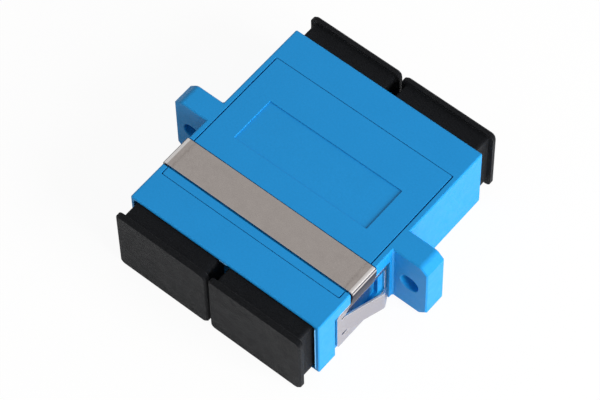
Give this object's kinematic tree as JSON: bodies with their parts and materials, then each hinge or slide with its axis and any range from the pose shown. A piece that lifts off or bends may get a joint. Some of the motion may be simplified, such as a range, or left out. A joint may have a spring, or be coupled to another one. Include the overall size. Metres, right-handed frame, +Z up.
{
  "type": "sc fibre adapter",
  "caption": "Duplex panel adapter for SC fibre plugs: flanged blue housing with a steel spring clip, latch inserts, split sleeves and black dust caps.",
  "frame": {"origin": "under the centre of the flange, at the level of the cap plates' lower edges, 0.15 mm below the housing", "axes": "+X across the two channels, +Y along the fibres away from the clip, +Z up out of the label face"},
  "size_m": [0.0346, 0.0332, 0.0096],
  "materials": {
    "blue_plastic": "satin moulded",
    "black_plastic": "fine matt texture",
    "spring_steel": "satin rolled stainless",
    "white_plastic": "satin moulded",
    "zirconia": "polished"
  },
  "bodies": {
    "adapter": {"housing": "blue_plastic", "cover_plate": "blue_plastic", "spring_clip": "spring_steel", "left_front_insert": "white_plastic", "left_back_insert": "white_plastic", "right_front_insert": "white_plastic", "right_back_insert": "white_plastic", "left_sleeve": "zirconia", "right_sleeve": "zirconia"},
    "left_front_cap": {"left_front_cap": "black_plastic"},
    "left_back_cap": {"left_back_cap": "black_plastic"},
    "right_front_cap": {"right_front_cap": "black_plastic"},
    "right_back_cap": {"right_back_cap": "black_plastic"}
  },
  "joints": [
    {"name": "left_front_cap_pull", "type": "slide", "parent": "adapter", "child": "left_front_cap", "axis": [0, -1, 0], "range_m": [0, 0.012]},
    {"name": "left_back_cap_pull", "type": "slide", "parent": "adapter", "child": "left_back_cap", "axis": [0, 1, 0], "range_m": [0, 0.012]},
    {"name": "right_front_cap_pull", "type": "slide", "parent": "adapter", "child": "right_front_cap", "axis": [0, -1, 0], "range_m": [0, 0.012]},
    {"name": "right_back_cap_pull", "type": "slide", "parent": "adapter", "child": "right_back_cap", "axis": [0, 1, 0], "range_m": [0, 0.012]}
  ]
}
